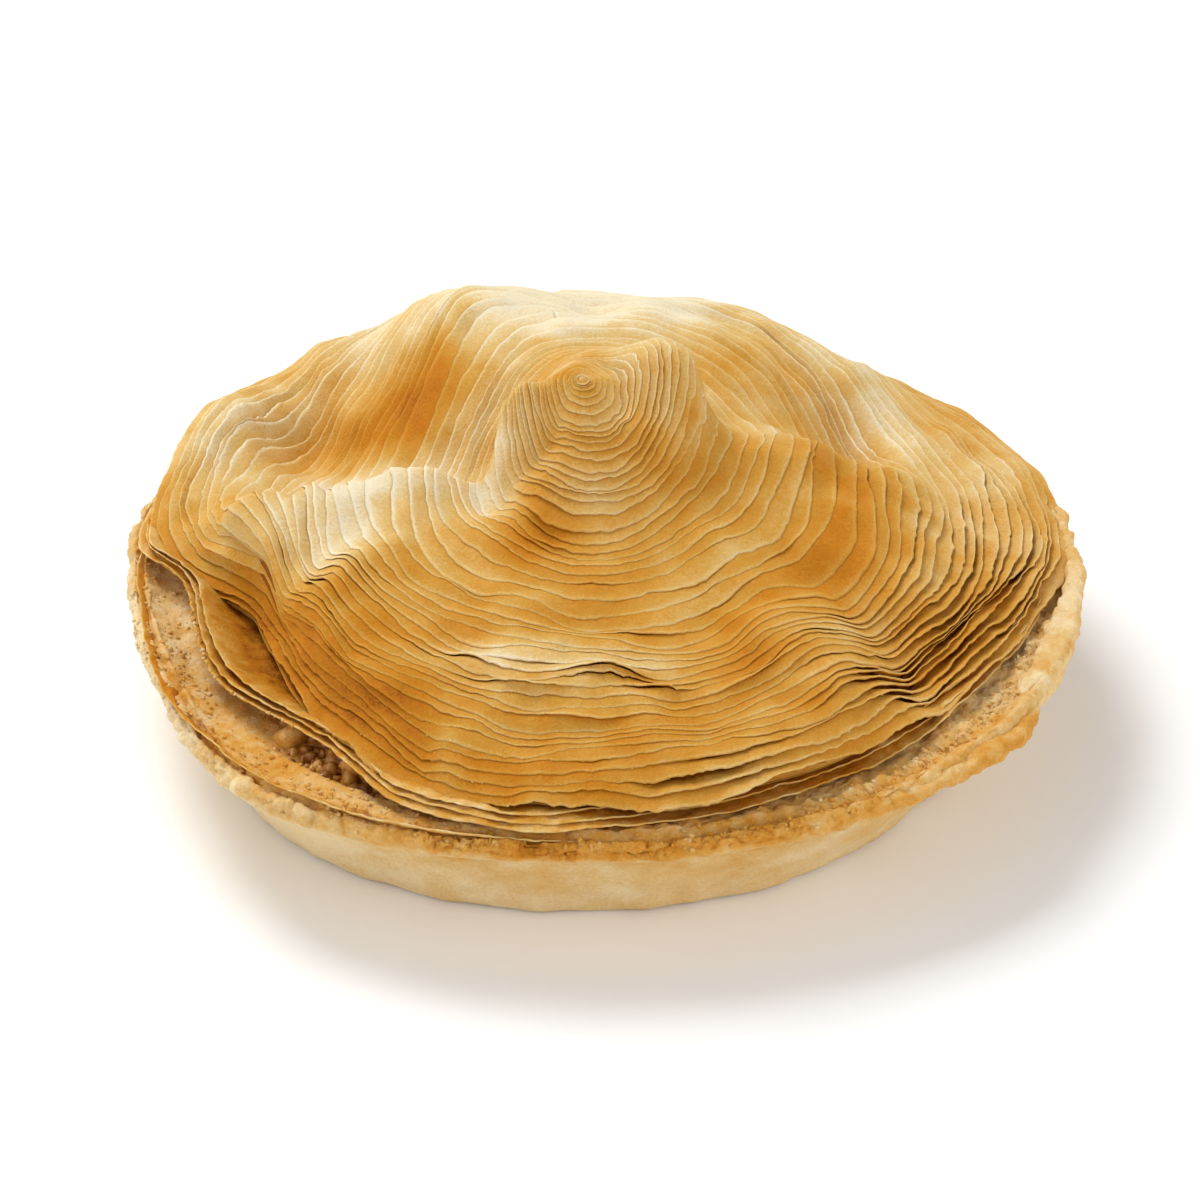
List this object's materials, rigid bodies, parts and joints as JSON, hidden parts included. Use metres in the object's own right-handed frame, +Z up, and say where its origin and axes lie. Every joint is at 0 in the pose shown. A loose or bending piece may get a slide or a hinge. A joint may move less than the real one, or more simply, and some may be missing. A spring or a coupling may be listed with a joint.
{
  "type": "meat pie",
  "caption": "Round baked meat pie: a shallow shortcrust dish filled with meat, under a flaky lid coiled from thin pastry and risen to a peak.",
  "frame": {"origin": "middle of the flat underside that the pie rests on, under the lid's peak", "axes": "+Z up through the peak, -Y towards the front of the pie where the lid slopes lowest, +X to the right"},
  "size_m": [0.1298, 0.1257, 0.0526],
  "materials": {
    "base_crust": "matte baked shortcrust, floury on the wall and browned on the rim",
    "filling": "moist cooked meat",
    "spiral_lid": "matte flaky pastry, cream on the ridges and amber in the folds"
  },
  "bodies": {
    "root": {"base_crust": "base_crust", "filling": "filling", "spiral_lid": "spiral_lid"}
  },
  "joints": []
}
